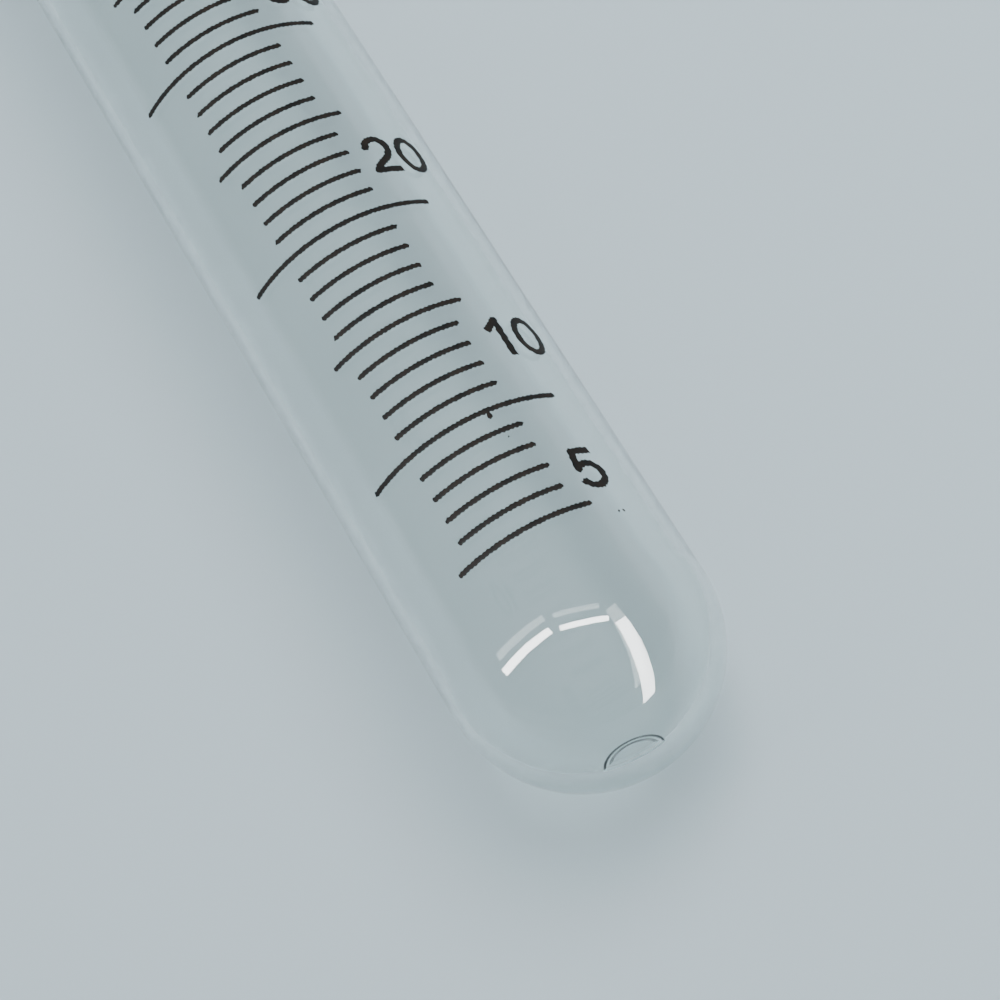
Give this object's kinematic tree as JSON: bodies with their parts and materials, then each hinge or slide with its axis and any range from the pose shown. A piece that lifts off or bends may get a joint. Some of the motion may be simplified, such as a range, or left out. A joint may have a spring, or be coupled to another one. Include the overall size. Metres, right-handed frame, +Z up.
{
  "type": "graduated round-bottom tube",
  "caption": "Clear glass measuring tube with a round closed end, open at the mouth, with a dark fired scale in millilitres and numerals along one side.",
  "frame": {"origin": "on the surface the tube rests on, under the middle of its length and under its axis", "axes": "+X along the tube's axis from the closed end to the mouth, +Z up through the middle of the scale, so the numerals are on the -Y side of it"},
  "size_m": [0.2, 0.025, 0.025],
  "materials": {
    "glass": "clear borosilicate glass, fire polished, gloss",
    "enamel": "dark brown fired enamel print, satin, slightly ragged edges"
  },
  "bodies": {
    "root": {"glass_tube": "glass", "line_05_ml": "enamel", "line_06_ml": "enamel", "line_07_ml": "enamel", "line_08_ml": "enamel", "line_09_ml": "enamel", "line_10_ml": "enamel", "line_11_ml": "enamel", "line_12_ml": "enamel", "line_13_ml": "enamel", "line_14_ml": "enamel", "line_15_ml": "enamel", "line_16_ml": "enamel", "line_17_ml": "enamel", "line_18_ml": "enamel", "line_19_ml": "enamel", "line_20_ml": "enamel", "line_21_ml": "enamel", "line_22_ml": "enamel", "line_23_ml": "enamel", "line_24_ml": "enamel", "line_25_ml": "enamel", "line_26_ml": "enamel", "line_27_ml": "enamel", "line_28_ml": "enamel", "line_29_ml": "enamel", "line_30_ml": "enamel", "line_31_ml": "enamel", "line_32_ml": "enamel", "line_33_ml": "enamel", "line_34_ml": "enamel", "line_35_ml": "enamel", "line_36_ml": "enamel", "line_37_ml": "enamel", "line_38_ml": "enamel", "line_39_ml": "enamel", "line_40_ml": "enamel", "line_41_ml": "enamel", "line_42_ml": "enamel", "line_43_ml": "enamel", "line_44_ml": "enamel", "line_45_ml": "enamel", "line_46_ml": "enamel", "line_47_ml": "enamel", "line_48_ml": "enamel", "line_49_ml": "enamel", "line_50_ml": "enamel", "numeral_5": "enamel", "numeral_10": "enamel", "numeral_20": "enamel", "numeral_30": "enamel", "numeral_40": "enamel", "numeral_50": "enamel", "unit_ml": "enamel"}
  },
  "joints": []
}
